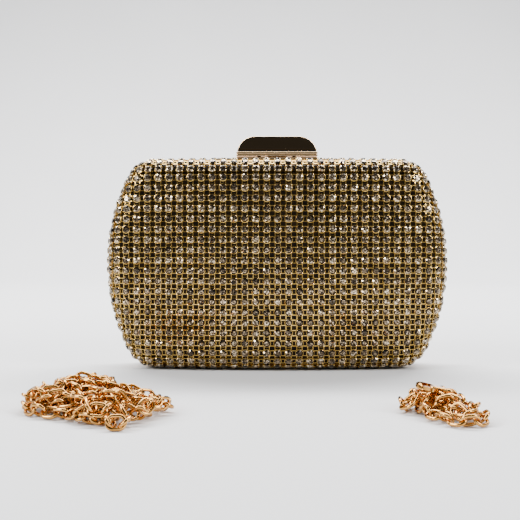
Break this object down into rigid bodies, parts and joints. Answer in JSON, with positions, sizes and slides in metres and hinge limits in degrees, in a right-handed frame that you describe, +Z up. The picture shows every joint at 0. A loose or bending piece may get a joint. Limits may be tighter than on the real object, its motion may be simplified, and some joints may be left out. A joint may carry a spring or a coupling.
{
  "type": "evening bag",
  "caption": "Hard box clutch evening bag with a champagne rhinestone mesh, a gold tilting bar clasp and loose shoulder and wrist chains.",
  "frame": {"origin": "middle of the bottom seam, on the surface that the closed bag stands on", "axes": "+X to the bag's right seen from the front, -Y out of the front half, +Z up"},
  "size_m": [0.205, 0.174, 0.13],
  "materials": {
    "crystal_mesh": "gloss",
    "case_shell": "satin",
    "satin_lining": "satin",
    "polished_gold": "polished",
    "chain_gold": "polished",
    "bare_steel": "satin"
  },
  "bodies": {
    "back_case": {"back_stone_mesh": "crystal_mesh", "back_shell": "case_shell", "back_frame": "polished_gold", "back_lining": "satin_lining", "back_hinge_rivets": "polished_gold", "back_clasp_screws": "bare_steel", "left_hinge_back_leaf": "polished_gold", "right_hinge_back_leaf": "polished_gold", "left_hinge_pin": "bare_steel", "right_hinge_pin": "bare_steel", "clasp_saddle": "polished_gold", "clasp_pivot_pin": "bare_steel", "clasp_spring": "bare_steel", "left_ring_bracket": "polished_gold", "right_ring_bracket": "polished_gold", "ring_bracket_rivets": "polished_gold"},
    "front_case": {"front_stone_mesh": "crystal_mesh", "front_shell": "case_shell", "front_frame": "polished_gold", "front_lining": "satin_lining", "front_hinge_rivets": "polished_gold", "front_clasp_screws": "bare_steel", "left_hinge_front_leaf": "polished_gold", "right_hinge_front_leaf": "polished_gold", "clasp_catch_plate": "polished_gold", "clasp_catch_spring": "bare_steel"},
    "clasp_bar": {"clasp_bar": "polished_gold", "clasp_hook": "polished_gold"},
    "left_chain_ring": {"left_chain_ring": "polished_gold"},
    "right_chain_ring": {"right_chain_ring": "polished_gold"},
    "shoulder_chain": {"shoulder_chain": "chain_gold", "shoulder_hook_left": "chain_gold", "shoulder_hook_left_gate_pin": "chain_gold", "shoulder_hook_right": "chain_gold", "shoulder_hook_right_gate_pin": "chain_gold"},
    "wrist_chain": {"wrist_chain": "chain_gold", "wrist_hook_left": "chain_gold", "wrist_hook_left_gate_pin": "chain_gold", "wrist_hook_right": "chain_gold", "wrist_hook_right_gate_pin": "chain_gold"},
    "shoulder_hook_left_gate": {"shoulder_hook_left_gate": "chain_gold"},
    "shoulder_hook_right_gate": {"shoulder_hook_right_gate": "chain_gold"},
    "wrist_hook_left_gate": {"wrist_hook_left_gate": "chain_gold"},
    "wrist_hook_right_gate": {"wrist_hook_right_gate": "chain_gold"}
  },
  "joints": [
    {"name": "front_case_open", "type": "hinge", "parent": "back_case", "child": "front_case", "pos_m": [0, 0, 0.0015], "axis": [1, 0, 0], "range_deg": [0, 60], "deforming": ["clasp_catch_spring"]},
    {"name": "clasp_bar_tilt", "type": "hinge", "parent": "back_case", "child": "clasp_bar", "pos_m": [0, 0.0046, 0.1202], "axis": [-1, 0, 0], "range_deg": [0, 15], "stiffness_Nm_per_rad": 0.02, "springref_deg": -22.92},
    {"name": "left_chain_ring_swing", "type": "hinge", "parent": "back_case", "child": "left_chain_ring", "pos_m": [-0.056, 0.0029, 0.1058], "axis": [1, 0, 0], "range_deg": [-70, 70]},
    {"name": "right_chain_ring_swing", "type": "hinge", "parent": "back_case", "child": "right_chain_ring", "pos_m": [0.056, 0.0029, 0.1058], "axis": [1, 0, 0], "range_deg": [-70, 70]},
    {"name": "shoulder_chain_lift", "type": "slide", "parent": "back_case", "child": "shoulder_chain", "axis": [0, 0, 1], "range_m": [0, 0.12]},
    {"name": "wrist_chain_lift", "type": "slide", "parent": "back_case", "child": "wrist_chain", "axis": [0, 0, 1], "range_m": [0, 0.12]},
    {"name": "shoulder_hook_left_gate_open", "type": "hinge", "parent": "shoulder_chain", "child": "shoulder_hook_left_gate", "pos_m": [-0.09692, -0.08107, 0.0013], "axis": [0, 0, -1], "range_deg": [0, 18], "stiffness_Nm_per_rad": 0.0005, "springref_deg": -17.19},
    {"name": "shoulder_hook_right_gate_open", "type": "hinge", "parent": "shoulder_chain", "child": "shoulder_hook_right_gate", "pos_m": [-0.07103, -0.08243, 0.0013], "axis": [0, 0, -1], "range_deg": [0, 18], "stiffness_Nm_per_rad": 0.0005, "springref_deg": -17.19},
    {"name": "wrist_hook_left_gate_open", "type": "hinge", "parent": "wrist_chain", "child": "wrist_hook_left_gate", "pos_m": [0.06057, -0.1202, 0.01029], "axis": [-0.1961, 0, -0.9806], "range_deg": [0, 18], "stiffness_Nm_per_rad": 0.0005, "springref_deg": -17.19},
    {"name": "wrist_hook_right_gate_open", "type": "hinge", "parent": "wrist_chain", "child": "wrist_hook_right_gate", "pos_m": [0.06952, -0.09435, 0.0013], "axis": [0, 0, -1], "range_deg": [0, 18], "stiffness_Nm_per_rad": 0.0005, "springref_deg": -17.19}
  ]
}
